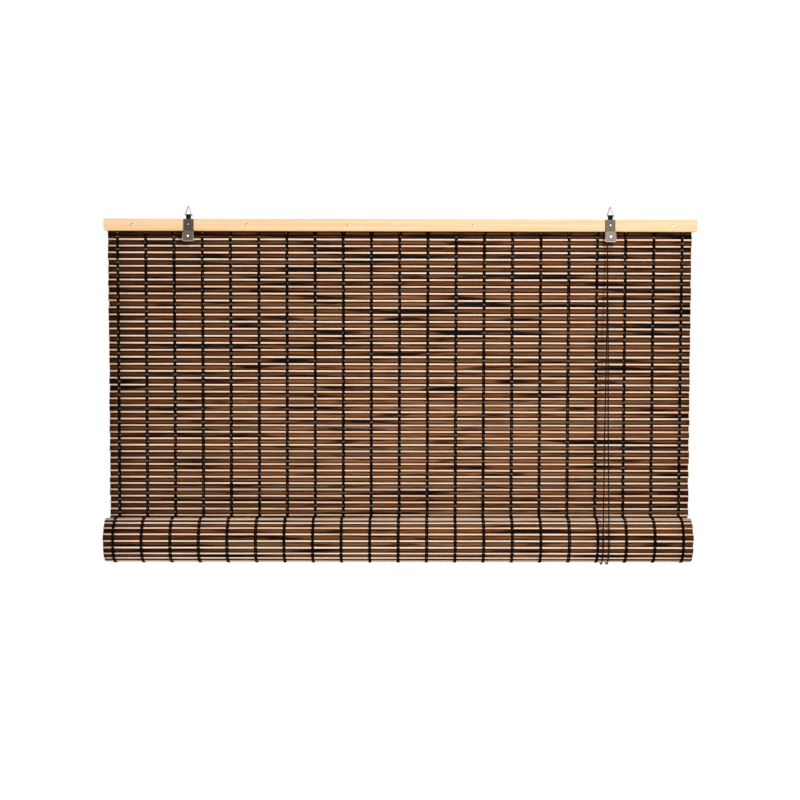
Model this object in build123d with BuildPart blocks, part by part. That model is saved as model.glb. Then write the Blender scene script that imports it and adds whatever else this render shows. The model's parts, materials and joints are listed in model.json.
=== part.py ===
from build123d import *
from math import acos, atan2, cos, degrees, pi, radians, sin, sqrt, tan
import os

# Bamboo roll up blind, hung from two wire rings, half rolled up.
# Millimetres. +X runs along the rail, +Y goes from the room into the wall, +Z is up.
# The origin is on the line through the tops of the two rings, half way along the rail.

# Head rail: a pine batten in front of the mat, and a thin lath behind it
rail_length = 1200.0
rail_height = 24.0
rail_thickness = 10.0
rail_drop = 23.2
rail_lower_corner = 5.0
rail_upper_corner = 1.5
rail_edge_round = 1.0
lath_length = 1180.0
lath_height = 20.0
lath_thickness = 5.0
lath_edge = 0.8

# Nails through batten, mat and lath, set by hand between the yarns, counted in yarn columns
nail_columns = (0.56, 4.62, 8.23, 12.66, 19.68)
nail_drop = 12.2
nail_head_radius = 2.2
nail_head_height = 0.8
nail_radius = 0.8
nail_bite = 4.0

# Hangers: a wire ring, a black strap and a pressed plate nailed to the batten
hanger_places = {"left": -428.0, "right": 424.0}
ring_height = 16.1
ring_apex_angle = 40.0
ring_wire_radius = 0.95
ring_bend_radius = 1.2
ring_tail = 2.6
ring_wire_gap = 0.2
strap_thickness = 0.9
strap_top_width = 10.4
strap_bottom_width = 8.5
strap_length = 21.0
strap_pinch = 4.2
pivot_clearance = 0.08
plate_width = 20.0
plate_sheet = 1.0
plate_bend = 0.9
plate_margin = 0.6
slot_radius = 1.6
slot_rise = 3.2
hanger_nail_drop = 11.2
hanger_nail_head = 1.9
hanger_nail_radius = 1.0
hole_clearance = 0.05

# Pulley housing below each plate, with its axle and grooved wheel
housing_sheet = 1.0
housing_gap = 0.5
housing_top_width = 21.0
housing_bottom_width = 23.0
housing_height = 21.6
housing_corner = 3.2
housing_flare = 9.0
housing_depth = 8.2
tongue_width = 12.0
tongue_rise = 19.0
axle_drop = 11.7
axle_radius = 1.5
axle_head_radius = 2.7
axle_head_height = 0.9
axle_head_round = 0.6
axle_tail_radius = 2.2
axle_tail_height = 0.7
wheel_radius = 6.6
wheel_groove_radius = 4.0
wheel_groove_width = 3.1
wheel_rib = 0.4
wheel_flange = 0.5
wheel_side_gap = 0.4

# Mat: flat slats with a round stick between each two, tied by twisted yarns
stick_radius = 1.9
slat_thickness = 1.5
mat_top_width = 1181.0
mat_bottom_width = 1170.0
mat_shift = -3.0
mat_tuck = 22.0
first_stick_drop = 16.2
hem_seam_drop = 7.9
hem_seam = 0.5
hanging_sticks = 45
mean_pitch = 13.6
pitch_swell = 0.73
swell_rows = 44.0
swell_start = 2.0
yarn_columns = 21
yarn_margin = 19.5
yarn_width = 5.5
yarn_thickness = 0.45
yarn_lift = 0.08

# Roll: the mat comes down behind it and goes on under it and up its front
roll_drop = 667.6
roll_radius = 44.5
turn_pitch = 5.0
roll_stick_pitch = 13.4
first_roll_stick = 11.1
outer_sticks = 20
yarn_wrap = 350.0
dowel_radius = 11.0
dowel_length = 1164.0
dowel_clearance = 0.5
body_gap = 0.15

# Lift cords: two at the right hanger, over its wheel, down in front and round the roll
cord_radius = 1.25
cord_gap = 0.35
bend_share = 0.45
cord_lip_drop = 72.0
cord_knee_drop = 80.0
cord_drops = (280.0, 440.0, 640.0)
inner_cord_offsets = (-6.9, -9.0, -9.8)
outer_cord_offsets = (-10.4, -15.9, -21.1)
end_knot_width = 4.2
end_knot_depth = 7.8
end_knot_height = 3.4
end_knot_round = 0.8
end_knot_gap = 0.35
anchor_drop = 32.0
anchor_run = 13.0
knot_radius = 2.0
knot_height = 3.6
knot_round = 0.7
knot_gap = 0.1
staple_drop = 38.0
staple_wire_radius = 0.5
staple_bend_radius = 0.8
staple_bite = 3.0
staple_gap = 0.1

# Depth of each layer, from the plates in front to the lath behind
plate_back = -strap_thickness
plate_face = plate_back - plate_sheet
cheek_front = strap_thickness
rail_face = cheek_front + housing_sheet
rail_back = rail_face + rail_thickness
mat_half_depth = stick_radius + yarn_lift + yarn_thickness
mat_plane = rail_back + mat_half_depth
lath_face = mat_plane + mat_half_depth
lath_back = lath_face + lath_thickness

# Heights
rail_top = -rail_drop
rail_bottom = rail_top - rail_height
mat_top = rail_bottom + mat_tuck
ring_base = -ring_height
plate_height = rail_height - 2 * plate_margin
housing_top = rail_bottom - housing_gap
axle_height = rail_bottom - axle_drop
roll_axis_y = mat_plane - roll_radius
roll_axis_z = -roll_drop
sling_radius = roll_radius + mat_half_depth + cord_gap + cord_radius


def front_plane(y, x=0.0, z=0.0):
    return Plane(origin=(x, y, z), x_dir=(1, 0, 0), z_dir=(0, -1, 0))


def side_plane(x):
    return Plane(origin=(x, 0, 0), x_dir=(0, 1, 0), z_dir=(1, 0, 0))


def save(part, label):
    part.label = label
    export_step(part, f"parts/{label}.step")


def outward(direction):
    return Vector(-direction.Y, direction.X)


def draw_mat_side(nodes, sticks, side):
    """Draws one face of the mat's section, a line along each slat and an arc over each stick."""
    half = slat_thickness / 2
    grip = sqrt(stick_radius**2 - half**2)
    along = (nodes[1] - nodes[0]).normalized()
    start = pen = nodes[0] + outward(along) * half * side
    for number in range(1, len(nodes) - 1):
        onward = (nodes[number + 1] - nodes[number]).normalized()
        out = outward((along + onward).normalized()) * side
        if number <= sticks:
            before = nodes[number] + outward(along) * half * side - along * grip
            after = nodes[number] + outward(onward) * half * side + onward * grip
            Line(pen, before)
            ThreePointArc(before, nodes[number] + out * stick_radius, after)
        else:
            after = nodes[number] + out * half
            Line(pen, after)
        pen = after
        along = onward
    end = nodes[-1] + outward(along) * half * side
    Line(pen, end)
    return start, end


def draw_mat_section(nodes, sticks):
    left_start, left_end = draw_mat_side(nodes, sticks, 1)
    right_start, right_end = draw_mat_side(nodes, sticks, -1)
    Line(left_start, right_start)
    Line(left_end, right_end)


def spiral_point(turned, lift=0.0):
    """A point of the roll's spiral, where 0 degrees is at the back and 90 at the bottom."""
    radius = roll_radius - turn_pitch * turned / 360 + lift
    angle = radians(turned)
    return Vector(roll_axis_y + radius * cos(angle), roll_axis_z - radius * sin(angle))


def stick_heights():
    heights = [rail_bottom - first_stick_drop]
    for row in range(hanging_sticks - 1):
        swell = sin(2 * pi * (row - swell_start) / swell_rows)
        heights.append(heights[-1] - mean_pitch - pitch_swell * swell)
    return heights


def roll_angles():
    """Where the sticks come round the roll, as far in as the last slat, which lies on the dowel."""
    core = dowel_radius + dowel_clearance + slat_thickness / 2
    innermost = sqrt(core**2 + (roll_stick_pitch / 2) ** 2)
    angles = [degrees(first_roll_stick / roll_radius)]
    radius = roll_radius
    while radius > innermost:
        angles.append(angles[-1] + degrees(roll_stick_pitch / radius))
        radius = roll_radius - turn_pitch * angles[-1] / 360
    return angles


def column_place(column, width):
    spacing = (width - 2 * yarn_margin) / (yarn_columns - 1)
    return mat_shift + (column - (yarn_columns - 1) / 2) * spacing


def yarn_places(width):
    return [column_place(column, width) for column in range(yarn_columns)]


def tangent_point(outside, side):
    """Where a tight cord from outside meets the circle of the sling, in front (-1) or behind (1)."""
    away = Vector(outside.Y - roll_axis_y, outside.Z - roll_axis_z)
    angle = side * acos(sling_radius / away.length) + atan2(away.X, away.Y)
    depth = roll_axis_y + sling_radius * sin(angle)
    return Vector(outside.X, depth, roll_axis_z + sling_radius * cos(angle))


def bend_radii(points):
    """Each bend of a cord is as large as its two runs allow."""
    radii = []
    for before, corner, after in zip(points, points[1:], points[2:]):
        turn = radians((corner - before).get_angle(after - corner))
        run = min((corner - before).length, (after - corner).length)
        radii.append(bend_share * run / tan(turn / 2))
    print("cord radii", [round(radius) for radius in radii])
    return radii


os.makedirs("parts", exist_ok=True)

# Head rail, with the lower corners of its ends worn rounder than the upper ones
with BuildPart() as head_rail:
    with BuildSketch(front_plane(rail_back, z=rail_top - rail_height / 2)):
        Rectangle(rail_length, rail_height)
    extrude(amount=rail_thickness)
    fillet(head_rail.edges().filter_by(Axis.Y).group_by(Axis.Z)[0], rail_lower_corner)
    fillet(head_rail.edges().filter_by(Axis.Y).group_by(Axis.Z)[-1], rail_upper_corner)
    fillet(head_rail.faces().sort_by(Axis.Y)[0].edges(), rail_edge_round)
save(head_rail.part, "head_rail")

with BuildPart() as back_lath:
    with BuildSketch(front_plane(lath_back, z=rail_top - rail_height / 2)):
        Rectangle(lath_length, lath_height)
    extrude(amount=lath_thickness)
    chamfer(back_lath.faces().sort_by(Axis.Y)[-1].edges(), lath_edge)
save(back_lath.part, "back_lath")

with BuildPart() as rail_nails:
    nail_places = [column_place(column, mat_top_width) for column in nail_columns]
    with BuildSketch(front_plane(lath_face + nail_bite, z=rail_top - nail_drop)):
        with Locations(*[(place, 0) for place in nail_places]):
            Circle(nail_radius)
    extrude(amount=lath_face + nail_bite - rail_face)
    with BuildSketch(front_plane(rail_face, z=rail_top - nail_drop)):
        with Locations(*[(place, 0) for place in nail_places]):
            Circle(nail_head_radius)
    extrude(amount=nail_head_height, taper=35)
save(rail_nails.part, "rail_nails")

# The mat's hanging length: a hem of plain slats behind the rail, then a stick between each two slats
with BuildPart() as hanging_mat:
    with BuildSketch(side_plane(mat_shift)):
        with BuildLine():
            ends = [mat_top, *stick_heights(), roll_axis_z + body_gap]
            draw_mat_section([Vector(mat_plane, height) for height in ends], hanging_sticks)
        make_face()
    extrude(amount=mat_top_width / 2, both=True)
    with BuildSketch(front_plane(mat_plane, x=mat_shift)):
        with BuildLine():
            Polyline(
                (-mat_top_width / 2, mat_top),
                (mat_top_width / 2, mat_top),
                (mat_bottom_width / 2, roll_axis_z),
                (-mat_bottom_width / 2, roll_axis_z),
                close=True,
            )
        make_face()
    extrude(amount=2 * stick_radius, both=True, mode=Mode.INTERSECT)
    with BuildSketch(side_plane(mat_shift)):
        with Locations((mat_plane, rail_bottom - hem_seam_drop)):
            Rectangle(slat_thickness, hem_seam)
            Rectangle(slat_thickness / 2, hem_seam, mode=Mode.SUBTRACT)
    extrude(amount=mat_top_width / 2, both=True, mode=Mode.SUBTRACT)
save(hanging_mat.part, "hanging_mat")

# Each yarn is a loop over the top of the mat, down its front and down its back
with BuildPart() as hanging_yarns:
    yarn_top = mat_top + yarn_lift + yarn_thickness
    for upper, lower in zip(yarn_places(mat_top_width), yarn_places(mat_bottom_width)):
        down = Vector(lower - upper, 0, roll_axis_z - yarn_top)
        length = down.length - body_gap
        across = Vector(-down.Z, 0, down.X)
        with BuildSketch(Plane(origin=(upper, mat_plane, yarn_top), x_dir=(0, 1, 0), z_dir=across)):
            with Locations((0, -length / 2)):
                Rectangle(2 * mat_half_depth, length)
            with Locations((0, -length / 2 - yarn_thickness)):
                Rectangle(2 * (mat_half_depth - yarn_thickness), length, mode=Mode.SUBTRACT)
        extrude(amount=yarn_width / 2, both=True)
save(hanging_yarns.part, "hanging_yarns")

# The roll: a spiral of slats, with the round sticks of its outer turn
turns = roll_angles()
with BuildPart() as mat_roll:
    with BuildSketch(side_plane(mat_shift)):
        with BuildLine():
            first = degrees(body_gap / roll_radius)
            draw_mat_section([spiral_point(turned) for turned in [first, *turns]], outer_sticks)
        make_face()
    extrude(amount=mat_bottom_width / 2, both=True)
save(mat_roll.part, "mat_roll")

with BuildPart() as roll_yarns:
    wrap = [first * 2, *[turned for turned in turns if turned < yarn_wrap]]
    inside = [spiral_point(turned, stick_radius + yarn_lift) for turned in wrap]
    outside = [spiral_point(turned, stick_radius + yarn_lift + yarn_thickness) for turned in wrap]
    with BuildSketch(*[side_plane(place) for place in yarn_places(mat_bottom_width)]):
        with BuildLine():
            Polyline(*inside, *reversed(outside), close=True)
        make_face()
    extrude(amount=yarn_width / 2, both=True)
save(roll_yarns.part, "roll_yarns")

with BuildPart() as bottom_dowel:
    with BuildSketch(side_plane(mat_shift)):
        with Locations((roll_axis_y, roll_axis_z)):
            Circle(dowel_radius)
    extrude(amount=dowel_length / 2, both=True)
save(bottom_dowel.part, "bottom_dowel")

# Sizes shared by both hangers
half_apex = radians(ring_apex_angle / 2)
ring_apex = ring_wire_radius + ring_bend_radius / sin(half_apex) - ring_bend_radius
ring_half_base = tan(half_apex) * (ring_apex - ring_base)
ring_step = 2 * ring_wire_radius + ring_wire_gap
eye_radius = ring_wire_radius + pivot_clearance
nail_height = rail_top - hanger_nail_drop
cheek_inside = cheek_front - housing_depth
cheek_lean = radians(housing_flare)
wheel_back = cheek_front - wheel_side_gap
first_groove = wheel_back - wheel_flange - wheel_groove_width / 2
grooves = (first_groove, first_groove - wheel_groove_width - wheel_rib)
wheel_front = grooves[-1] - wheel_groove_width / 2 - wheel_flange
cheek_outside = cheek_inside - housing_sheet / cos(cheek_lean)
axle_head_back = cheek_outside - tan(cheek_lean) * (axle_drop - housing_gap + axle_head_radius)
groove_round = wheel_groove_width / 2
groove_centre_radius = wheel_groove_radius + groove_round

for side, hanger_x in hanger_places.items():
    # Ring: bent from one wire, whose end passes in front of its start at the lower right corner
    with BuildPart() as ring:
        with BuildLine() as wire:
            FilletPolyline(
                (hanger_x + ring_half_base + ring_wire_radius, 0, ring_base),
                (hanger_x - ring_half_base, 0, ring_base),
                (hanger_x, -ring_step / 2, ring_apex),
                (
                    hanger_x + ring_half_base + ring_tail * tan(half_apex),
                    -ring_step,
                    ring_base - ring_tail,
                ),
                radius=ring_bend_radius,
            )
        with BuildSketch(Plane(origin=wire.line @ 0, z_dir=wire.line % 0)):
            Circle(ring_wire_radius)
        sweep()
    save(ring.part, f"{side}_ring")

    # Strap: folded round the ring's base wire, both ends lie flat behind the plate
    with BuildPart() as strap:
        with BuildSketch(side_plane(hanger_x)):
            with Locations((0, ring_base)):
                Circle(eye_radius + strap_thickness)
            with Locations((0, ring_base - strap_pinch)):
                Rectangle(2 * strap_thickness, strap_thickness)
            make_hull()
            with Locations((0, ring_base - strap_length / 2)):
                Rectangle(2 * strap_thickness, strap_length)
            with Locations((0, ring_base)):
                Circle(eye_radius, mode=Mode.SUBTRACT)
        extrude(amount=strap_top_width / 2, both=True)
        with BuildSketch(front_plane(0, x=hanger_x, z=ring_base)):
            with BuildLine():
                Polyline(
                    (-strap_top_width / 2, eye_radius + strap_thickness),
                    (strap_top_width / 2, eye_radius + strap_thickness),
                    (strap_bottom_width / 2, -strap_length),
                    (-strap_bottom_width / 2, -strap_length),
                    close=True,
                )
            make_face()
        extrude(amount=2 * eye_radius, both=True, mode=Mode.INTERSECT)
        with BuildSketch(front_plane(0, x=hanger_x, z=nail_height)):
            Circle(hanger_nail_radius + hole_clearance)
        extrude(amount=strap_thickness, both=True, mode=Mode.SUBTRACT)
    save(strap.part, f"{side}_strap")

    # Plate: a shallow channel whose side flanges stand on the batten
    with BuildPart() as plate:
        with BuildSketch(front_plane(rail_face, x=hanger_x, z=rail_top - rail_height / 2)):
            Rectangle(plate_width, plate_height)
        extrude(amount=rail_face - plate_face)
        fillet(plate.faces().sort_by(Axis.Y)[0].edges().filter_by(Axis.Z), plate_bend)
        with BuildSketch(front_plane(rail_face, x=hanger_x, z=rail_top - rail_height / 2)):
            Rectangle(plate_width - 2 * plate_sheet, plate_height)
        extrude(amount=rail_face - plate_back, mode=Mode.SUBTRACT)
        with BuildSketch(front_plane(plate_back, x=hanger_x)):
            with Locations((0, nail_height)):
                Circle(hanger_nail_radius + hole_clearance)
            with Locations((0, rail_bottom + slot_rise)):
                Circle(slot_radius)
        extrude(amount=plate_sheet, mode=Mode.SUBTRACT)
    save(plate.part, f"{side}_hanger_plate")

    # Housing: two cheeks joined over the wheel, and a tongue up behind the plate
    with BuildPart() as housing:
        leaning = Plane(
            origin=(hanger_x, cheek_inside, housing_top),
            x_dir=(1, 0, 0),
            z_dir=(0, -cos(cheek_lean), sin(cheek_lean)),
        )
        with BuildSketch(leaning) as cheek:
            with BuildLine():
                Polyline(
                    (-housing_bottom_width / 2, -housing_height),
                    (-housing_top_width / 2, 0),
                    (housing_top_width / 2, 0),
                    (housing_bottom_width / 2, -housing_height),
                    close=True,
                )
            make_face()
            fillet(cheek.vertices().group_by(Axis.Y)[-1], housing_corner)
        extrude(amount=housing_sheet)
        bridge_depth = housing_sheet + housing_depth + housing_sheet
        with BuildSketch(front_plane(rail_face, x=hanger_x, z=housing_top - housing_sheet / 2)):
            Rectangle(housing_top_width - 2 * housing_corner, housing_sheet)
        extrude(amount=bridge_depth)
        with BuildSketch(front_plane(rail_face, x=hanger_x, z=housing_top - housing_height / 2)):
            RectangleRounded(housing_top_width, housing_height, housing_corner)
        extrude(amount=housing_sheet)
        with BuildSketch(front_plane(rail_face, x=hanger_x, z=housing_top + tongue_rise / 2)):
            Rectangle(tongue_width, tongue_rise)
        extrude(amount=housing_sheet)
        with BuildSketch(front_plane(rail_face, x=hanger_x)):
            with Locations((0, axle_height)):
                Circle(axle_radius + hole_clearance)
            with Locations((0, nail_height)):
                Circle(hanger_nail_radius + hole_clearance)
        extrude(amount=2 * housing_depth, mode=Mode.SUBTRACT)
    save(housing.part, f"{side}_pulley_housing")

    with BuildPart() as hanger_nail:
        with BuildSketch(front_plane(lath_face + nail_bite, x=hanger_x, z=nail_height)):
            Circle(hanger_nail_radius)
        extrude(amount=lath_face + nail_bite - plate_face)
        with BuildSketch(front_plane(plate_face, x=hanger_x, z=nail_height)):
            Circle(hanger_nail_head)
        extrude(amount=nail_head_height, taper=35)
    save(hanger_nail.part, f"{side}_hanger_nail")

    # Axle: peened behind the back cheek, with a domed head on the front one
    with BuildPart() as axle:
        with BuildSketch(front_plane(rail_face + axle_tail_height, x=hanger_x, z=axle_height)):
            Circle(axle_tail_radius)
        extrude(amount=axle_tail_height)
        with BuildSketch(front_plane(rail_face, x=hanger_x, z=axle_height)):
            Circle(axle_radius)
        extrude(amount=rail_face - axle_head_back)
        with BuildSketch(front_plane(axle_head_back, x=hanger_x, z=axle_height)):
            Circle(axle_head_radius)
        extrude(amount=axle_head_height)
        fillet(axle.faces().sort_by(Axis.Y)[0].edges(), axle_head_round)
    save(axle.part, f"{side}_pulley_axle")

    # Wheel: a turned roller with a round groove for each of two cords
    with BuildPart() as wheel:
        with BuildSketch(Plane(origin=(hanger_x, 0, axle_height))):
            bore = axle_radius + hole_clearance
            with Locations(((bore + wheel_radius) / 2, (wheel_back + wheel_front) / 2)):
                Rectangle(wheel_radius - bore, wheel_back - wheel_front)
            with Locations(*[(groove_centre_radius, groove) for groove in grooves]):
                Circle(groove_round, mode=Mode.SUBTRACT)
            with Locations(*[(groove_centre_radius + groove_round, groove) for groove in grooves]):
                Rectangle(2 * groove_round, wheel_groove_width, mode=Mode.SUBTRACT)
        revolve(axis=Axis((hanger_x, 0, axle_height), (0, 1, 0)))
    save(wheel.part, f"{side}_wheel")

# Cords: over the right wheel's two grooves to a knot they share, hidden in the housing
cord_hanger = hanger_places["right"]
lip = -cord_lip_drop
knee = -cord_knee_drop
left_side = cord_hanger - groove_centre_radius
right_side = cord_hanger + groove_centre_radius
rim_below_knot = sqrt(wheel_radius**2 - (groove_centre_radius - end_knot_width / 2) ** 2)
knot_top = axle_height - rim_below_knot - end_knot_gap
with BuildPart() as cord_over_wheel:
    for groove in grooves:
        with BuildLine() as over:
            Line((left_side, groove, lip), (left_side, groove, axle_height))
            ThreePointArc(
                (left_side, groove, axle_height),
                (cord_hanger, groove, axle_height + groove_centre_radius),
                (right_side, groove, axle_height),
            )
            Line((right_side, groove, axle_height), (right_side, groove, knot_top))
        with BuildSketch(Plane.XY.offset(lip)):
            with Locations((left_side, groove)):
                Circle(cord_radius)
        sweep(path=over.wires()[0])
save(cord_over_wheel.part, "cord_over_wheel")

with BuildPart() as cord_end_knot:
    with BuildSketch(Plane.XY.offset(knot_top - end_knot_height)):
        with Locations((cord_hanger + groove_centre_radius, sum(grooves) / 2)):
            Rectangle(end_knot_width, end_knot_depth)
    extrude(amount=end_knot_height)
    fillet(cord_end_knot.edges(), end_knot_round)
save(cord_end_knot.part, "cord_end_knot")

# The cords' straight lengths in front of the mat, and behind it up to the knots on the lath
cord_offsets = (inner_cord_offsets, outer_cord_offsets)
front_ends = []
with BuildPart() as cord_front_legs:
    for groove, offsets in zip(grooves, cord_offsets):
        lip_point = Vector(cord_hanger - groove_centre_radius, groove, lip)
        knee_point = Vector(lip_point.X, groove, knee)
        meeting = tangent_point(knee_point, -1)
        slope = (meeting.Y - groove) / (knee - meeting.Z)
        leg = [lip_point, knee_point]
        for drop, offset_x in zip(cord_drops, offsets):
            leg.append(Vector(cord_hanger + offset_x, groove + slope * (knee + drop), -drop))
        leg.append(Vector(cord_hanger + offsets[-1], meeting.Y, meeting.Z))
        front_ends.append(leg[-1])
        with BuildLine() as front:
            FilletPolyline(*leg, radius=bend_radii(leg))
        with BuildSketch(Plane.XY.offset(lip)):
            with Locations((lip_point.X, groove)):
                Circle(cord_radius)
        sweep(path=front.wires()[0])
save(cord_front_legs.part, "cord_front_legs")

back_ends = []
with BuildPart() as cord_back_legs:
    for front_end in front_ends:
        top = Vector(front_end.X, lath_back + knot_radius + knot_gap, -anchor_drop)
        bend = top - Vector(0, 0, anchor_run)
        meeting = tangent_point(bend, 1)
        back_ends.append(meeting)
        leg = [top, bend, meeting]
        with BuildLine() as back:
            FilletPolyline(*leg, radius=bend_radii(leg))
        with BuildSketch(Plane.XY.offset(top.Z)):
            with Locations((top.X, top.Y)):
                Circle(cord_radius)
        sweep(path=back.wires()[0])
save(cord_back_legs.part, "cord_back_legs")

with BuildPart() as cord_sling:
    for front_end, back_end in zip(front_ends, back_ends):
        with BuildLine() as under:
            lowest = (front_end.X, roll_axis_y, roll_axis_z - sling_radius)
            ThreePointArc(front_end, lowest, back_end)
        with BuildSketch(Plane(origin=front_end, z_dir=under.line % 0)):
            Circle(cord_radius)
        sweep(path=under.line)
save(cord_sling.part, "cord_sling")

# Behind the lath, a staple over each cord and a stopper knot above it
with BuildPart() as cord_anchor_knots:
    with BuildSketch(Plane.XY.offset(-anchor_drop)):
        with Locations(*[(end.X, lath_back + knot_radius + knot_gap) for end in back_ends]):
            Circle(knot_radius)
    extrude(amount=knot_height)
    fillet(cord_anchor_knots.edges().filter_by(GeomType.CIRCLE), knot_round)
save(cord_anchor_knots.part, "cord_anchor_knots")

with BuildPart() as cord_staples:
    reach = cord_radius + staple_gap + staple_wire_radius
    bridge = lath_back + 2 * knot_gap + knot_radius + reach
    for end in back_ends:
        with BuildLine() as staple_wire:
            FilletPolyline(
                (end.X - reach, lath_back - staple_bite, -staple_drop),
                (end.X - reach, bridge, -staple_drop),
                (end.X + reach, bridge, -staple_drop),
                (end.X + reach, lath_back - staple_bite, -staple_drop),
                radius=staple_bend_radius,
            )
        with BuildSketch(Plane(origin=staple_wire.line @ 0, z_dir=staple_wire.line % 0)):
            Circle(staple_wire_radius)
        sweep(path=staple_wire.line)
save(cord_staples.part, "cord_staples")
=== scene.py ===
import json
import math
import random

import bpy
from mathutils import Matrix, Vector


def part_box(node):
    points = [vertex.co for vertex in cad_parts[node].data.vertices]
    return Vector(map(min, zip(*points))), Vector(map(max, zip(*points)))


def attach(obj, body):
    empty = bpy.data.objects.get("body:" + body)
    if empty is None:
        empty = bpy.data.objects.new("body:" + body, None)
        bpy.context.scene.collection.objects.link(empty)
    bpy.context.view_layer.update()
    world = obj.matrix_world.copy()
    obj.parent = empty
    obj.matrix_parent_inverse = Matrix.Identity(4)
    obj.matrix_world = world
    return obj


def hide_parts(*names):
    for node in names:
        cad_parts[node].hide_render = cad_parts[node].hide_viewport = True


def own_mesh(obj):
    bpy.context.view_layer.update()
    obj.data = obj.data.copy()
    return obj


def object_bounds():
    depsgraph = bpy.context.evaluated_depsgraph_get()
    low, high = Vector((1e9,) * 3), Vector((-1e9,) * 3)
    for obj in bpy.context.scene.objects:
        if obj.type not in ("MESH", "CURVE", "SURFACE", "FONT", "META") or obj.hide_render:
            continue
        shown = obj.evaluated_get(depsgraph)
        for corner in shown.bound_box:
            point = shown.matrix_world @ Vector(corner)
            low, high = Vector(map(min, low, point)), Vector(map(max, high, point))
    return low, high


# Bamboo roll up blind, half rolled. Metres, with +X along the rail, +Y into the wall and +Z up.
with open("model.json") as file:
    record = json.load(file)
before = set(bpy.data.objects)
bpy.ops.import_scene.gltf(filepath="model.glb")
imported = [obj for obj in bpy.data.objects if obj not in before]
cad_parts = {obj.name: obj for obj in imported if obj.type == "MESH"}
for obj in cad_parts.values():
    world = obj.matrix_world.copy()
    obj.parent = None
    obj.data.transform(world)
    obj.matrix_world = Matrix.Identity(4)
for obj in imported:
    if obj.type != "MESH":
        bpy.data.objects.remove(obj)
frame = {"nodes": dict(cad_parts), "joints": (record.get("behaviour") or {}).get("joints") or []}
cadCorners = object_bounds()
mm = 0.001
joints = {joint["name"]: joint for joint in frame["joints"]}
print("frame loaded:", len(frame["nodes"]), "nodes")


# Small tools

def linearColour(hexText):
    channels = [int(hexText[start:start + 2], 16) / 255 for start in (1, 3, 5)]
    linear = [c / 12.92 if c <= 0.04045 else ((c + 0.055) / 1.055) ** 2.4 for c in channels]
    return (*linear, 1.0)


def addNode(tree, kind, settings=None, links=None):
    # a name that starts small is the node's own setting, any other is one of its sockets
    node = tree.nodes.new(kind)
    for name, value in (settings or {}).items():
        if isinstance(name, str) and name[0].islower():
            setattr(node, name, value)
        else:
            node.inputs[name].default_value = value
    for name, source in (links or {}).items():
        tree.links.new(source, node.inputs[name])
    return node


def newMaterial(name):
    material = bpy.data.materials.new(name)
    material.use_nodes = True
    material.node_tree.nodes.clear()
    return material


def setRamp(node, stops):
    ramp = node.color_ramp
    while len(ramp.elements) < len(stops):
        ramp.elements.new(0.5)
    for element, (place, colour) in zip(ramp.elements, stops):
        element.position = place
        element.color = linearColour(colour)


def alongX(length, width):
    # the scale of a pattern that is this long along X and this wide across it
    return 1 / length, 1 / width, 1 / width


def finishSurface(tree, colour, settings, height, depth, strength, links=None):
    # the shader with its bump, wired to the material's output
    bump = addNode(tree, "ShaderNodeBump", {"Strength": strength, "Distance": depth},
                   {"Height": height})
    surface = addNode(tree, "ShaderNodeBsdfPrincipled", settings,
                      {"Base Color": colour, "Normal": bump.outputs["Normal"], **(links or {})})
    addNode(tree, "ShaderNodeOutputMaterial", links={"Surface": surface.outputs["BSDF"]})


def newPiece(name, verts, faces, material, body, nodes=()):
    mesh = bpy.data.meshes.new(name)
    mesh.from_pydata(verts, [], faces)
    mesh.update()
    for polygon in mesh.polygons:
        polygon.use_smooth = True
    piece = bpy.data.objects.new(name, mesh)
    bpy.context.scene.collection.objects.link(piece)
    mesh.materials.append(material)
    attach(piece, body)
    if nodes:
        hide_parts(*nodes)
    return piece


def circleTurns(sides):
    return [2 * math.pi * side / sides for side in range(sides)]


def joinRings(verts, faces, rings, closed=False):
    # skins rings of equally many points, and caps both ends unless the rings close on themselves
    first, count, sides = len(verts), len(rings), len(rings[0])
    for ring in rings:
        verts.extend(ring)
    for number in range(count if closed else count - 1):
        here = first + number * sides
        there = first + (number + 1) % count * sides
        for side in range(sides):
            beside = (side + 1) % sides
            faces.append((here + side, here + beside, there + beside, there + side))
    if not closed:
        faces.append(tuple(first + side for side in reversed(range(sides))))
        faces.append(tuple(first + (count - 1) * sides + side for side in range(sides)))


def addTube(verts, faces, points, radii, sides):
    # a round tube whose rings keep one side along X, so that it never twists
    rings = []
    for index, point in enumerate(points):
        before = points[max(index - 1, 0)]
        after = points[min(index + 1, len(points) - 1)]
        along = (after - before).normalized()
        level = Vector((1, 0, 0)) - along * along.x
        if level.length < 0.05:  # the tube itself runs along X here
            level = Vector((0, 1, 0)) - along * along.y
        level.normalize()
        upright = along.cross(level)
        rings.append([point + (level * math.cos(turn) + upright * math.sin(turn)) * radii[index]
                      for turn in circleTurns(sides)])
    joinRings(verts, faces, rings)


# Camera: level, nearly four metres in front, as the photograph has it

cameraSettings = {"place": (0.0, -3.748, -0.3885), "lens": 83.5, "sensor": 36.0, "roll": 0.13}


def makeCamera():
    data = bpy.data.cameras.new("camera")
    data.lens = cameraSettings["lens"]
    data.sensor_width = cameraSettings["sensor"]
    camera = bpy.data.objects.new("camera", data)
    camera.location = cameraSettings["place"]
    camera.rotation_euler = (math.radians(90), math.radians(-cameraSettings["roll"]), 0)
    bpy.context.scene.collection.objects.link(camera)
    bpy.context.scene.camera = camera


makeCamera()
bpy.context.scene.view_settings.view_transform = "Standard"
print("camera placed")


# Materials

waveStep = 0.31  # a wave texture of scale 1 repeats every 0.31 units


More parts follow.
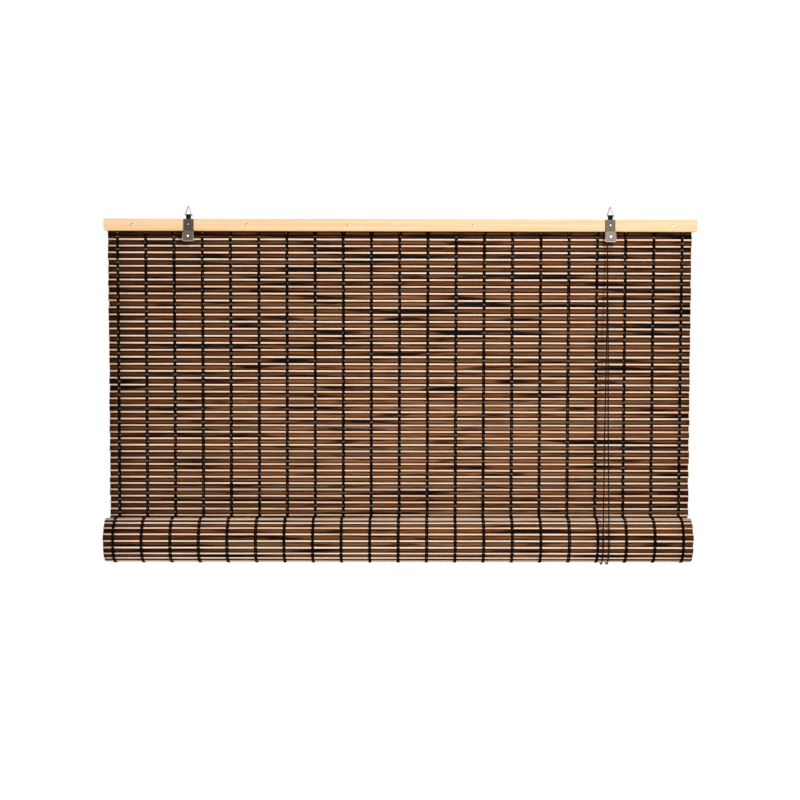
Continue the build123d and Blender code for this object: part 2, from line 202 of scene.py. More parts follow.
def makeBraidedCord():
    # braided polyester: matt black, with a fine plait 1.2 mm long that catches a little light
    plaitLength = 1.2 * mm
    material = newMaterial("braidedPolyesterCord")
    tree = material.node_tree
    place = addNode(tree, "ShaderNodeTexCoord")
    plait = addNode(tree, "ShaderNodeTexWave",
                    {"Scale": waveStep / plaitLength, "Distortion": 1.5, "bands_direction": "DIAGONAL"},
                    {"Vector": place.outputs["Object"]})
    tint = addNode(tree, "ShaderNodeValToRGB", links={"Fac": plait.outputs["Fac"]})
    setRamp(tint, [(0.0, "#060504"), (1.0, "#1a1513")])
    finishSurface(tree, tint.outputs["Color"], {"Roughness": 0.8, "Specular IOR Level": 0.12},
                  plait.outputs["Fac"], 0.25 * mm, 0.7)
    return material


def makeWovenTape():
    # woven nylon tape: black, with ribs 0.8 mm apart across it
    ribSpacing = 0.8 * mm
    material = newMaterial("wovenNylonTape")
    tree = material.node_tree
    place = addNode(tree, "ShaderNodeTexCoord")
    ribs = addNode(tree, "ShaderNodeTexWave",
                   {"Scale": waveStep / ribSpacing, "Distortion": 0.6, "bands_direction": "Z"},
                   {"Vector": place.outputs["Object"]})
    tint = addNode(tree, "ShaderNodeValToRGB", links={"Fac": ribs.outputs["Fac"]})
    setRamp(tint, [(0.0, "#080808"), (1.0, "#1c1b1a")])
    finishSurface(tree, tint.outputs["Color"], {"Roughness": 0.9, "Specular IOR Level": 0.12},
                  ribs.outputs["Fac"], 0.15 * mm, 0.6)
    return material


def makeTwistedYarn():
    # twisted cotton yarn, dyed dark brown: fuzzy, with a painted highlight where the front strand crosses
    # a slat's middle
    fibreSpacing = 0.6 * mm
    material = newMaterial("twistedCottonYarn")
    tree = material.node_tree
    place = addNode(tree, "ShaderNodeTexCoord")
    fibres = addNode(tree, "ShaderNodeTexNoise", {"Scale": 1 / (4 * fibreSpacing), "Detail": 4.0},
                     {"Vector": place.outputs["Object"]})
    strand = addNode(tree, "ShaderNodeAttribute", {"attribute_name": "strandTone"})
    tone = addNode(tree, "ShaderNodeMath", {"operation": "MULTIPLY"},
                   {0: fibres.outputs["Fac"], 1: strand.outputs["Fac"]})
    tint = addNode(tree, "ShaderNodeValToRGB", links={"Fac": tone.outputs["Value"]})
    # the palest stop is reached only by the painted highlight
    setRamp(tint, [(0.1, "#080403"), (0.33, "#180d08"), (0.62, "#7d695c")])
    finishSurface(tree, tint.outputs["Color"], {"Roughness": 0.95, "Specular IOR Level": 0.04},
                  fibres.outputs["Fac"], 0.3 * mm, 0.8)
    return material


def makeStainedBamboo():
    # bamboo slats, split, planed and stained dark brown: long fibres 1.6 mm apart, painted shade
    # darkening the long edges for the gaps beside the sticks, blackish stretches a hand long and small
    # dark knots
    fibreWidth, fibreLength = 1.6 * mm, 60 * mm
    patchWidth, patchLength = 9 * mm, 130 * mm
    knotWidth, knotLength = 45 * mm, 260 * mm
    material = newMaterial("stainedSplitBamboo")
    tree = material.node_tree
    place = addNode(tree, "ShaderNodeTexCoord")
    number = addNode(tree, "ShaderNodeAttribute", {"attribute_name": "slatNumber"})
    apart = addNode(tree, "ShaderNodeCombineXYZ", links={"X": number.outputs["Fac"]})
    shifted = addNode(tree, "ShaderNodeVectorMath", {"operation": "ADD"},
                      {0: place.outputs["Object"], 1: apart.outputs["Vector"]})
    fibreScale = addNode(tree, "ShaderNodeMapping", {"Scale": alongX(fibreLength, fibreWidth)},
                         {"Vector": shifted.outputs["Vector"]})
    fibres = addNode(tree, "ShaderNodeTexNoise", {"Scale": 1.0, "Detail": 3.0, "Roughness": 0.6},
                     {"Vector": fibreScale.outputs["Vector"]})
    fibreTone = addNode(tree, "ShaderNodeMapRange",
                        {"From Min": 0.3, "From Max": 0.7, "To Min": 0.6, "To Max": 1.32},
                        {"Value": fibres.outputs["Fac"]})
    patchScale = addNode(tree, "ShaderNodeMapping", {"Scale": alongX(patchLength, patchWidth)},
                         {"Vector": shifted.outputs["Vector"]})
    patches = addNode(tree, "ShaderNodeTexNoise", {"Scale": 1.0, "Detail": 2.0},
                      {"Vector": patchScale.outputs["Vector"]})
    patchTone = addNode(tree, "ShaderNodeMapRange",
                        {"From Min": 0.34, "From Max": 0.49, "To Min": 0.06, "To Max": 1.0},
                        {"Value": patches.outputs["Fac"]})
    knotScale = addNode(tree, "ShaderNodeMapping", {"Scale": alongX(knotLength, knotWidth)},
                        {"Vector": place.outputs["Object"]})
    knots = addNode(tree, "ShaderNodeTexVoronoi", {"Scale": 1.0, "Randomness": 1.0},
                    {"Vector": knotScale.outputs["Vector"]})
    knotTone = addNode(tree, "ShaderNodeMapRange",
                       {"From Min": 0.03, "From Max": 0.07, "To Min": 0.25, "To Max": 1.0},
                       {"Value": knots.outputs["Distance"]})
    # painted shade: the slat darkens to nearly black towards its long edges, for the shadowed gaps beside
    # the sticks
    across = addNode(tree, "ShaderNodeAttribute", {"attribute_name": "acrossSlat"})
    fromMiddle = addNode(tree, "ShaderNodeMath", {"operation": "ABSOLUTE"}, {0: across.outputs["Fac"]})
    edgeShade = addNode(tree, "ShaderNodeMapRange",
                       {"From Min": 0.4, "From Max": 0.85, "To Min": 1.0, "To Max": 0.06},
                       {"Value": fromMiddle.outputs["Value"]})
    tone = addNode(tree, "ShaderNodeAttribute", {"attribute_name": "slatTone"})
    mixed = tone.outputs["Fac"]
    for factor in (edgeShade, patchTone, fibreTone, knotTone):
        mixed = addNode(tree, "ShaderNodeMath", {"operation": "MULTIPLY"},
                        {0: mixed, 1: factor.outputs["Result"]}).outputs["Value"]
    tint = addNode(tree, "ShaderNodeValToRGB", links={"Fac": mixed})
    setRamp(tint, [(0.05, "#0b0301"), (0.3, "#45240e"), (0.62, "#6e4526"), (1.0, "#966a47")])
    finishSurface(tree, tint.outputs["Color"], {"Roughness": 0.6, "Specular IOR Level": 0.05},
                  fibres.outputs["Fac"], 0.12 * mm, 0.5)
    return material


def makeNaturalStick():
    # thin round sticks of unstained bamboo: pale and faintly pink, with small differences along each
    fibreWidth, fibreLength = 1.0 * mm, 80 * mm
    material = newMaterial("naturalRoundBamboo")
    tree = material.node_tree
    place = addNode(tree, "ShaderNodeTexCoord")
    fibreScale = addNode(tree, "ShaderNodeMapping", {"Scale": alongX(fibreLength, fibreWidth)},
                         {"Vector": place.outputs["Object"]})
    fibres = addNode(tree, "ShaderNodeTexNoise", {"Scale": 1.0, "Detail": 3.0},
                     {"Vector": fibreScale.outputs["Vector"]})
    tone = addNode(tree, "ShaderNodeAttribute", {"attribute_name": "stickTone"})
    mixed = addNode(tree, "ShaderNodeMath", {"operation": "MULTIPLY"},
                    {0: fibres.outputs["Fac"], 1: tone.outputs["Fac"]})
    tint = addNode(tree, "ShaderNodeValToRGB", links={"Fac": mixed.outputs["Value"]})
    setRamp(tint, [(0.22, "#c4977a"), (0.42, "#f4c8a8"), (0.6, "#ffe2ca")])
    finishSurface(tree, tint.outputs["Color"], {"Roughness": 0.5, "Specular IOR Level": 0.25},
                  fibres.outputs["Fac"], 0.08 * mm, 0.4)
    return material


def makePine(name, stops):
    # planed pine, unvarnished: faint honey grain along it and fine pores
    grainWidth, grainLength = 5 * mm, 420 * mm
    poreWidth, poreLength, poreShare = 0.7 * mm, 22 * mm, 0.25
    material = newMaterial(name)
    tree = material.node_tree
    place = addNode(tree, "ShaderNodeTexCoord")
    grainScale = addNode(tree, "ShaderNodeMapping", {"Scale": alongX(grainLength, grainWidth)},
                         {"Vector": place.outputs["Object"]})
    grain = addNode(tree, "ShaderNodeTexNoise", {"Scale": 1.0, "Detail": 4.0, "Distortion": 0.4},
                    {"Vector": grainScale.outputs["Vector"]})
    poreScale = addNode(tree, "ShaderNodeMapping", {"Scale": alongX(poreLength, poreWidth)},
                        {"Vector": place.outputs["Object"]})
    pores = addNode(tree, "ShaderNodeTexNoise", {"Scale": 1.0, "Detail": 2.0},
                    {"Vector": poreScale.outputs["Vector"]})
    both = addNode(tree, "ShaderNodeMath", {"operation": "MULTIPLY_ADD", 1: poreShare},
                   {0: pores.outputs["Fac"], 2: grain.outputs["Fac"]})
    tint = addNode(tree, "ShaderNodeValToRGB", links={"Fac": both.outputs["Value"]})
    setRamp(tint, stops)
    finishSurface(tree, tint.outputs["Color"], {"Roughness": 0.6, "Specular IOR Level": 0.3},
                  both.outputs["Value"], 0.15 * mm, 0.25)
    return material


def makeNickelSteel(name, dark, light, roughness, scratchLength):
    # nickel plated mild steel: grey with a warm cast, worn to fine upright scratches 0.4 mm apart
    scratchWidth = 0.4 * mm
    material = newMaterial(name)
    tree = material.node_tree
    place = addNode(tree, "ShaderNodeTexCoord")
    scale = addNode(tree, "ShaderNodeMapping",
                    {"Scale": (1 / scratchWidth, 1 / scratchWidth, 1 / scratchLength)},
                    {"Vector": place.outputs["Object"]})
    scratches = addNode(tree, "ShaderNodeTexNoise", {"Scale": 1.0, "Detail": 3.0},
                        {"Vector": scale.outputs["Vector"]})
    tint = addNode(tree, "ShaderNodeValToRGB", links={"Fac": scratches.outputs["Fac"]})
    setRamp(tint, [(0.3, dark), (0.7, light)])
    rough = addNode(tree, "ShaderNodeMapRange", {"To Min": roughness - 0.08, "To Max": roughness + 0.1},
                    {"Value": scratches.outputs["Fac"]})
    finishSurface(tree, tint.outputs["Color"], {"Metallic": 1.0}, scratches.outputs["Fac"],
                  0.03 * mm, 0.4, {"Roughness": rough.outputs["Result"]})
    return material


def makeMouldedNylon():
    # moulded nylon wheel: off-white, with a faint grain from the mould
    grit = 0.5 * mm
    material = newMaterial("mouldedNylon")
    tree = material.node_tree
    place = addNode(tree, "ShaderNodeTexCoord")
    grain = addNode(tree, "ShaderNodeTexNoise", {"Scale": 1 / (4 * grit), "Detail": 2.0},
                    {"Vector": place.outputs["Object"]})
    tint = addNode(tree, "ShaderNodeValToRGB", links={"Fac": grain.outputs["Fac"]})
    setRamp(tint, [(0.3, "#cfcabd"), (0.7, "#e2ded2")])
    finishSurface(tree, tint.outputs["Color"], {"Roughness": 0.45}, grain.outputs["Fac"],
                  0.05 * mm, 0.3)
    return material


cordBlack = makeBraidedCord()
tapeBlack = makeWovenTape()
yarnBrown = makeTwistedYarn()
bambooStained = makeStainedBamboo()
bambooNatural = makeNaturalStick()
# cream on the batten, and a brown for the painted shade at the upper left of each nail
pinePlaned = makePine("planedPine", [(0.35, "#e6b986"), (0.6, "#f1c798"), (0.85, "#f8d4ab")])
pineNailShade = makePine("pineNailShadeBrown", [(0.35, "#7c5230"), (0.6, "#966a42"), (0.85, "#b18456")])
# the plates are the darkest, the hoods painted paler for the light on their upturned faces, the wire and
# nails brighter, the grooves painted nearly black for their shade
plateSteel = makeNickelSteel("dullNickelPlate", "#3f3833", "#564d47", 0.5, 6 * mm)
litHousingSteel = makeNickelSteel("nickelPlateLit", "#4d463f", "#655d56", 0.5, 6 * mm)
ringSteel = makeNickelSteel("drawnNickelWire", "#857d74", "#aaa298", 0.3, 4 * mm)
nailSteel = makeNickelSteel("brightSteel", "#e4e0da", "#fbf9f5", 0.25, 3 * mm)
grooveShadeSteel = makeNickelSteel("steelGrooveShade", "#1c1815", "#2c2622", 0.6, 2 * mm)
rimHighlightSteel = makeNickelSteel("nickelEdgeHighlight", "#9b938a", "#bdb5ac", 0.35, 6 * mm)
nylonWhite = makeMouldedNylon()
print("materials made")


# Where the mat and its roll lie, from the frame

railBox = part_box("head_rail")
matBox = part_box("hanging_mat")
matPlane = (matBox[0].y + matBox[1].y) / 2
rollAxis = Vector(joints["roll_turn"]["pos_m"])
liftTravel = joints["roll_lift"]["range_m"][1]
raisedAxis = rollAxis.z + liftTravel

mat = {
    "stickRadius": 1.85 * mm,
    "slatThickness": 1.5 * mm,
    "slatGap": -0.25 * mm,
    "topWidth": 1186 * mm,
    "bottomWidth": 1170 * mm,
    "taper": 0.7,
    "hangingShift": -1.1 * mm,
    "rollShift": -3 * mm,
    "lean": 0.0014,
    "firstStickDrop": 16.2 * mm,
    "seamDrop": 7.9 * mm,
    "hemSlat": 9.6 * mm,
    "hangingSticks": 45,
    "meanPitch": 13.6 * mm,
    "pitchSwell": 0.73 * mm,
    "swellRows": 44,
    "swellStart": 2,
    "rollRadius": 44.5 * mm,
    "turnPitch": 5.0 * mm,
    "rollStickPitch": 13.4 * mm,
    "firstRollStick": 15.1 * mm,
    "innermost": 14.5 * mm,
    "lookAhead": 0.001,
    "bodyGap": 0.15 * mm,
    "outerRows": 41,
}


def shareDown(height):
    return min(max((matBox[1].z - height) / (matBox[1].z - rollAxis.z), 0), 1)


def widthAt(height):
    narrowing = mat["topWidth"] - mat["bottomWidth"]
    return mat["topWidth"] - narrowing * shareDown(height) ** mat["taper"]


def leanAt(x, share):
    # the blind hangs a little lower on its left, more so the further down
    return x * mat["lean"] * share


def stickHeights():
    # the sticks lie a little closer and wider apart by turns, as woven
    heights = [railBox[0].z - mat["firstStickDrop"]]
    for row in range(mat["hangingSticks"] - 1):
        swell = math.sin(2 * math.pi * (row - mat["swellStart"]) / mat["swellRows"])
        heights.append(heights[-1] - mat["meanPitch"] - mat["pitchSwell"] * swell)
    return heights


def spiralRadius(turned):
    return mat["rollRadius"] - mat["turnPitch"] * turned / (2 * math.pi)


def spiralPoint(turned):
    radius = spiralRadius(turned)
    return Vector((0, rollAxis.y + radius * math.cos(turned), rollAxis.z - radius * math.sin(turned)))


def rollAngles():
    angles = [mat["firstRollStick"] / mat["rollRadius"]]
    radius = mat["rollRadius"]
    while radius > mat["innermost"]:
        angles.append(angles[-1] + mat["rollStickPitch"] / radius)
        radius = spiralRadius(angles[-1])
    return angles


def slatBetween(upper, lower, topTrim, bottomTrim, width):
    # one slat of the mat: its middle, the way down it, the way out of its front, and its breadth
    down = (lower - upper).normalized()
    top = upper + down * topTrim
    bottom = lower - down * bottomTrim
    return {"kind": "slat", "middle": (top + bottom) / 2, "down": down,
            "out": Vector((0, down.z, -down.y)), "breadth": (bottom - top).length,
            "half": mat["slatThickness"] / 2, "width": width,
            "shift": mat["hangingShift"], "share": shareDown(lower.z)}


def stickAt(middle, down, width):
    return {"kind": "stick", "middle": middle, "down": down,
            "out": Vector((0, down.z, -down.y)), "breadth": 2 * mat["stickRadius"],
            "half": mat["stickRadius"], "width": width,
            "shift": mat["hangingShift"], "share": shareDown(middle.z)}


def hangingRows():
    # three hem slats behind the batten, then a slat and a stick by turns down to the roll
    stickTrim = mat["stickRadius"] + mat["slatGap"]
    seamTrim = mat["slatGap"] / 2
    seam = railBox[0].z - mat["seamDrop"]
    rows = []
    upper = matBox[1].z
    for lower in (seam + 2 * mat["hemSlat"], seam + mat["hemSlat"], seam):
        rows.append(slatBetween(Vector((0, matPlane, upper)), Vector((0, matPlane, lower)),
                                seamTrim, seamTrim, widthAt(lower)))
        upper = lower
    previous, topTrim = Vector((0, matPlane, seam - seamTrim)), 0
    for height in stickHeights():
        middle = Vector((0, matPlane, height))
        rows.append(slatBetween(previous, middle, topTrim, stickTrim, widthAt(height)))
        rows.append(stickAt(middle, Vector((0, 0, -1)), widthAt(height)))
        previous, topTrim = middle, stickTrim
    end = Vector((0, matPlane, rollAxis.z + mat["bodyGap"]))
    rows.append(slatBetween(previous, end, stickTrim, 0, widthAt(end.z)))
    return rows


def rollRows():
    # the same rows on a spiral, from the back of the roll under it and round to the dowel
    stickTrim = mat["stickRadius"] + mat["slatGap"]
    rows = []
    previous, topTrim = spiralPoint(mat["bodyGap"] / mat["rollRadius"]), 0
    angles = rollAngles()
    for angle, following in zip(angles, angles[1:] + angles[-1:]):
        middle = spiralPoint(angle)
        rows.append(slatBetween(previous, middle, topTrim, stickTrim, mat["bottomWidth"]))
        ahead = spiralPoint(following + mat["lookAhead"])
        rows.append(stickAt(middle, (ahead - previous).normalized(), mat["bottomWidth"]))
        previous, topTrim = middle, stickTrim
    for row in rows:
        row["shift"], row["share"] = mat["rollShift"], 1.0
    return rows


# Slats and sticks

slatSettings = {
    "seed": 11, "lengths": 26, "innerLengths": 4, "endSpread": 0.9 * mm, "wave": 0.14 * mm,
    "crown": 0.14 * mm, "round": 0.45 * mm,
    "grainApart": 3.7,  # how far along the pattern each next slat starts
    "darkest": 0.56, "lightest": 0.8,
    "endShade": 0.3, "endPower": 2.5, "leftShade": 0.2,
    # painted shade on the rows below the rail, and a painted pool of light lower down
    "railShadeTone": 0.64, "lightGain": 0.34, "railShadeDepth": 0.22,
    "lightPoolGain": 0.1, "lightPoolHeight": -0.46, "lightPoolSpread": 0.08,
}
stickSettings = {
    "seed": 23, "lengths": 20, "innerLengths": 4, "sides": 12, "endSpread": 1.1 * mm,
    "wave": 0.16 * mm, "thinnest": 0.93, "thickest": 1.03, "darkest": 0.8, "lightest": 1.12,
}
warp = {"slowest": 6, "fastest": 14, "ripple": 0.5}
seedShifts = {"top": 0, "hanging": 100, "hangingRight": 150, "rolled": 300, "inner": 400}


def slatOutline(breadth, thickness):
    # points across the slat and out of it, with rounded long edges and a slightly crowned front
    edge, face = breadth / 2, thickness / 2
    curve, crown = slatSettings["round"], slatSettings["crown"]
    return [(-edge, face - curve), (-edge, curve - face), (curve - edge, -face), (0, -face - crown),
            (edge - curve, -face), (edge, curve - face), (edge, face - curve), (edge - curve, face),
            (0, face + crown), (curve - edge, face)]


def addBar(verts, faces, row, outline, stops, wobble):
    # one slat or stick: the outline carried along X, closed at both ends
    rings = []
    for x, (liftDown, liftOut) in zip(stops, wobble):
        ring = []
        for down, out in outline:
            place = row["middle"] + row["down"] * (down + liftDown) + row["out"] * (out + liftOut)
            ring.append((x, place.y, place.z + leanAt(x, row["share"])))
        rings.append(ring)
    joinRings(verts, faces, rings)


def barStops(row, chance, settings, segments):
    # where the outline is set along the bar, and how far the bar bows there
    half = row["width"] / 2
    left = row["shift"] - half + chance.uniform(-1, 1) * settings["endSpread"]
    right = row["shift"] + half + chance.uniform(-1, 1) * settings["endSpread"]
    stops = [left + (right - left) * step / segments for step in range(segments + 1)]
    phases = [chance.uniform(0, 2 * math.pi) for _ in range(4)]
    speeds = [chance.uniform(warp["slowest"], warp["fastest"]) for _ in range(4)]

    def bow(x, first):
        slow = math.sin(speeds[first] * x + phases[first])
        quick = math.sin(2 * speeds[first + 1] * x + phases[first + 1])
        return (slow + warp["ripple"] * quick) * settings["wave"] / 2

    return stops, [(bow(x, 0), bow(x, 2)) for x in stops]


def setAttribute(piece, name, values):
    attribute = piece.data.attributes.new(name, "FLOAT", "POINT")
    attribute.data.foreach_set("value", values)


def rowLightAndShade(row):
    # painted shade: the rows just below the rail are darker, for the rail's shade, and a painted pool of
    # light makes them palest a little below the middle
    height = row["middle"].z
    below = min(max((matBox[1].z - height) / slatSettings["railShadeDepth"], 0), 1)
    lightPool = math.exp(-((height - slatSettings["lightPoolHeight"]) / slatSettings["lightPoolSpread"]) ** 2)
    return slatSettings["railShadeTone"] + slatSettings["lightGain"] * below + slatSettings["lightPoolGain"] * lightPool


def endShadeTone(out):
    # painted shade: darker towards both ends, most of all the left
    return (1 - slatSettings["endShade"] * abs(out) ** slatSettings["endPower"]
            - slatSettings["leftShade"] * max(-out, 0))


def makeSlats(name, rows, body, nodes, segments, seedShift):
    chance = random.Random(slatSettings["seed"] + seedShift)
    verts, faces, across, tones, numbers = [], [], [], [], []
    for number, row in enumerate(rows):
        outline = slatOutline(row["breadth"], 2 * row["half"])
        stops, wobble = barStops(row, chance, slatSettings, segments)
        addBar(verts, faces, row, outline, stops, wobble)
        tone = chance.uniform(slatSettings["darkest"], slatSettings["lightest"]) * rowLightAndShade(row)
        for x in stops:
            across.extend(2 * down / row["breadth"] for down, _ in outline)
            tones.extend([tone * endShadeTone(2 * x / row["width"])] * len(outline))
        grainStart = (number + seedShift) * slatSettings["grainApart"]
        numbers.extend([grainStart] * (len(stops) * len(outline)))
    piece = newPiece(name, verts, faces, bambooStained, body, nodes)
    setAttribute(piece, "acrossSlat", across)
    setAttribute(piece, "slatTone", tones)
    setAttribute(piece, "slatNumber", numbers)
    return piece


def makeSticks(name, rows, body, segments, seedShift):
    chance = random.Random(stickSettings["seed"] + seedShift)
    verts, faces, tones = [], [], []
    for row in rows:
        radius = mat["stickRadius"] * chance.uniform(stickSettings["thinnest"], stickSettings["thickest"])
        outline = [(-radius * math.cos(turn), -radius * math.sin(turn))
                   for turn in circleTurns(stickSettings["sides"])]
        stops, wobble = barStops(row, chance, stickSettings, segments)
        addBar(verts, faces, row, outline, stops, wobble)
        tone = chance.uniform(stickSettings["darkest"], stickSettings["lightest"])
        tones.extend([tone] * (len(stops) * len(outline)))
    piece = newPiece(name, verts, faces, bambooNatural, body)
    setAttribute(piece, "stickTone", tones)
    return piece


# Yarns: each column is two pairs of strands, which cross between one row and the next

yarn = {
    "columns": 21, "leftColumns": 10, "margin": 19.5 * mm, "pairApart": 1.5 * mm, "swing": 1.2 * mm,
    "sway": 0.3 * mm, "held": (-0.28, 0, 0.28), "strandRadius": 1.5 * mm, "crossRadius": 1.15 * mm,
    "thinnest": 0.9, "thickest": 1.1, "flat": 0.3, "sides": 6, "seed": 31,
    "darkTone": 0.4, "highlightTone": 1.2, "paintedHighlight": 0.6,
}
tab = {
    "width": 8.6 * mm, "height": 5.2 * mm, "depth": 1.1 * mm, "edgeDepth": 0.05, "drop": 0.3 * mm,
    "turns": 4, "overlap": 0.55, "steps": 8, "sides": 6, "tone": 0.24,
}


def columnPlaces(width, shift):
    spacing = (width - 2 * yarn["margin"]) / (yarn["columns"] - 1)
    middle = (yarn["columns"] - 1) / 2
    return [shift + (column - middle) * spacing for column in range(yarn["columns"])]


def strandPath(rows, column, pair, strand, chance):
    # a strand goes in front of one row and behind the next, and its partner the other way
    points, radii, tones = [], [], []
    sway = chance.uniform(-yarn["sway"], yarn["sway"])
    for index, row in enumerate(rows):
        side = 1 if (index + strand + (pair > 0)) % 2 else -1
        x = columnPlaces(row["width"], row["shift"])[column] + pair * yarn["pairApart"] + sway
        lean = leanAt(x, row["share"])
        clear = row["half"] + yarn["strandRadius"] * yarn["flat"]
        # painted highlight: the front strand is paler where it stands out most, over a slat's middle
        paintedHighlight = row["kind"] == "slat" and side > 0 and chance.random() < yarn["paintedHighlight"]
        for share in yarn["held"]:
            place = row["middle"] + row["down"] * row["breadth"] * share + row["out"] * side * clear
            points.append(Vector((x + side * share * yarn["swing"], place.y, place.z + lean)))
            radii.append(yarn["strandRadius"] * chance.uniform(yarn["thinnest"], yarn["thickest"]))
            tones.append(yarn["highlightTone"] if paintedHighlight and share == 0 else yarn["darkTone"])
        if index + 1 < len(rows):
            following = rows[index + 1]
            gap = (row["middle"] + row["down"] * row["breadth"] / 2
                   + following["middle"] - following["down"] * following["breadth"] / 2) / 2
            points.append(Vector((x, gap.y, gap.z + lean)))
            radii.append(yarn["crossRadius"])
            tones.append(yarn["darkTone"])
    return points, radii, tones


def makeYarns(name, rows, body, nodes, seedShift, columns):
    chance = random.Random(yarn["seed"] + seedShift)
    verts, faces, tones = [], [], []
    for column in columns:
        for pair in (-1, 1):
            for strand in (0, 1):
                points, radii, pointTones = strandPath(rows, column, pair, strand, chance)
                addTube(verts, faces, points, radii, yarn["sides"])
                for tone in pointTones:
                    tones.extend([tone] * yarn["sides"])
    piece = newPiece(name, verts, faces, yarnBrown, body, nodes)
    setAttribute(piece, "strandTone", tones)
    return piece


def makeYarnTabs():
    # the yarns' ends, wound flat over the first slat just below the batten, and painted darker than the
    # other yarns for the batten's shade
    verts, faces = [], []
    top = railBox[0].z - tab["drop"]
    front = matPlane - mat["slatThickness"] / 2
    turnHeight = tab["height"] / tab["turns"]
    for place in columnPlaces(widthAt(top), mat["hangingShift"]):
        for turn in range(tab["turns"]):
            height = top - turnHeight * (turn + 0.5)
            points = []
            for step in range(tab["steps"] + 1):
                share = -1 + 2 * step / tab["steps"]
                depth = tab["depth"] * math.sqrt(max(1 - share ** 4, tab["edgeDepth"]))
                points.append(Vector((place + share * tab["width"] / 2, front - depth, height)))
            addTube(verts, faces, points, [turnHeight * tab["overlap"]] * len(points), tab["sides"])
    piece = newPiece("yarnTabs", verts, faces, yarnBrown, "blind_frame")
    # painted shade: a lower tone than the yarns' own, for the shade under the batten
    setAttribute(piece, "strandTone", [tab["tone"]] * len(verts))


def pick(rows, kind):
    return [row for row in rows if row["kind"] == kind]


# The mat: split at the raised roll's axis into the rows above it, and those below it, whose pieces get
# meshes of their own

hanging = hangingRows()
topRows = [row for row in hanging if row["middle"].z > raisedAxis]
foldingRows = [row for row in hanging if row["middle"].z <= raisedAxis]
allColumns = range(yarn["columns"])
leftColumns, rightColumns = allColumns[:yarn["leftColumns"]], allColumns[yarn["leftColumns"]:]
foldingPieces = [
    makeSlats("hangingSlats", pick(foldingRows, "slat"), "blind_frame", ["hanging_mat"],
              slatSettings["lengths"], seedShifts["hanging"]),
    makeSticks("hangingSticks", pick(foldingRows, "stick"), "blind_frame",
               stickSettings["lengths"], seedShifts["hanging"]),
    makeYarns("hangingYarnsLeft", foldingRows, "blind_frame", ["hanging_yarns"],
              seedShifts["hanging"], leftColumns),
    makeYarns("hangingYarnsRight", foldingRows, "blind_frame", ["hanging_yarns"],
              seedShifts["hangingRight"], rightColumns),
]
for piece in foldingPieces:
    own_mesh(piece)
makeSlats("topSlats", pick(topRows, "slat"), "blind_frame", ["hanging_mat"],
          slatSettings["lengths"], seedShifts["top"])
makeSticks("topSticks", pick(topRows, "stick"), "blind_frame",
           stickSettings["lengths"], seedShifts["top"])
makeYarns("topYarns", topRows, "blind_frame", ["hanging_yarns"], seedShifts["top"], allColumns)
makeYarnTabs()
print("hanging mat made:", len(hanging), "rows")

# The roll: only its outer turn shows, so the turns inside are plainer and have no yarns
rolled = rollRows()
outerRows, innerRows = rolled[:mat["outerRows"]], rolled[mat["outerRows"]:]
makeSlats("rolledSlats", pick(outerRows, "slat"), "roll", ["mat_roll"],
          slatSettings["lengths"], seedShifts["rolled"])
makeSticks("rolledSticks", pick(outerRows, "stick"), "roll",
           stickSettings["lengths"], seedShifts["rolled"])
makeSlats("innerSlats", pick(innerRows, "slat"), "roll", ["mat_roll"],
          slatSettings["innerLengths"], seedShifts["inner"])
makeSticks("innerSticks", pick(innerRows, "stick"), "roll",
           stickSettings["innerLengths"], seedShifts["inner"])
makeYarns("rolledYarns", outerRows, "roll", ["roll_yarns"], seedShifts["rolled"], allColumns)
print("roll made:", len(rolled), "rows")


# Lift cords: the straight lengths, each copied from the frame as a piece of its own with the cord's
# finish

straightCords = {
    "cord_front_legs": {"piece": "frontCords", "fixedEnd": -72 * mm},
    "cord_back_legs": {"piece": "backCords", "fixedEnd": -32 * mm},
}


def makeStraightCords():
    for nodeName, settings in straightCords.items():
        mesh = frame["nodes"][nodeName].data.copy()
        mesh.materials.clear()
        mesh.materials.append(cordBlack)
        piece = bpy.data.objects.new(settings["piece"], mesh)
        bpy.context.scene.collection.objects.link(piece)
        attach(piece, "blind_frame")
        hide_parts(nodeName)
        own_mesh(piece)


makeStraightCords()
print("cords made")


# Trim of the hangers and the batten: turned edges with a painted highlight, painted shade in the grooves,
# and painted shade by the batten's nails

trim = {
    "hangers": {"left": -428 * mm, "right": 424 * mm}, "sides": 8,
    "edge": 0.65 * mm, "edgeInset": 0.3 * mm, "cornerSteps": 6,
    "hoodTop": -47.7 * mm, "hoodHeight": 21.6 * mm, "hoodFront": -8.31 * mm, "hoodLean": 0.158,
    "topHalf": 10.2 * mm, "bottomHalf": 11.1 * mm, "corner": 3.2 * mm,
    "mark": 0.6 * mm, "markSteps": 20, "axleDrop": 11.2 * mm, "axleMark": 3.5 * mm,
    "plateFront": -1.95 * mm, "nailHeight": -34.4 * mm, "nailMark": 2.7 * mm,
    "footHeight": -47.1 * mm, "footHalf": 8.6 * mm, "footShares": (-1, -0.9, 0.9, 1),
    "nailShadeXs": (-542.016, -310.2, -104.076, 148.896, 549.732), "battenFront": 1.9 * mm,
    "nailShadeHeight": -35.4 * mm, "nailShadeRadius": 2.6 * mm, "nailShadeBead": 0.6 * mm, "nailShadeSteps": 14,
    "nailShadeStart": 50, "nailShadeEnd": 260,
}


def addBead(verts, faces, points, radius, closed=False):
    # a round bead along points that lie in a face seen from the room
    outward = Vector((0, -1, 0))
    count = len(points)
    rings = []
    for index, point in enumerate(points):
        before = points[index - 1] if closed or index else point
        after = points[(index + 1) % count] if closed or index + 1 < count else point
        aside = (after - before).cross(outward).normalized()
        rings.append([point + (aside * math.cos(turn) + outward * math.sin(turn)) * radius
                      for turn in circleTurns(trim["sides"])])
    joinRings(verts, faces, rings, closed)


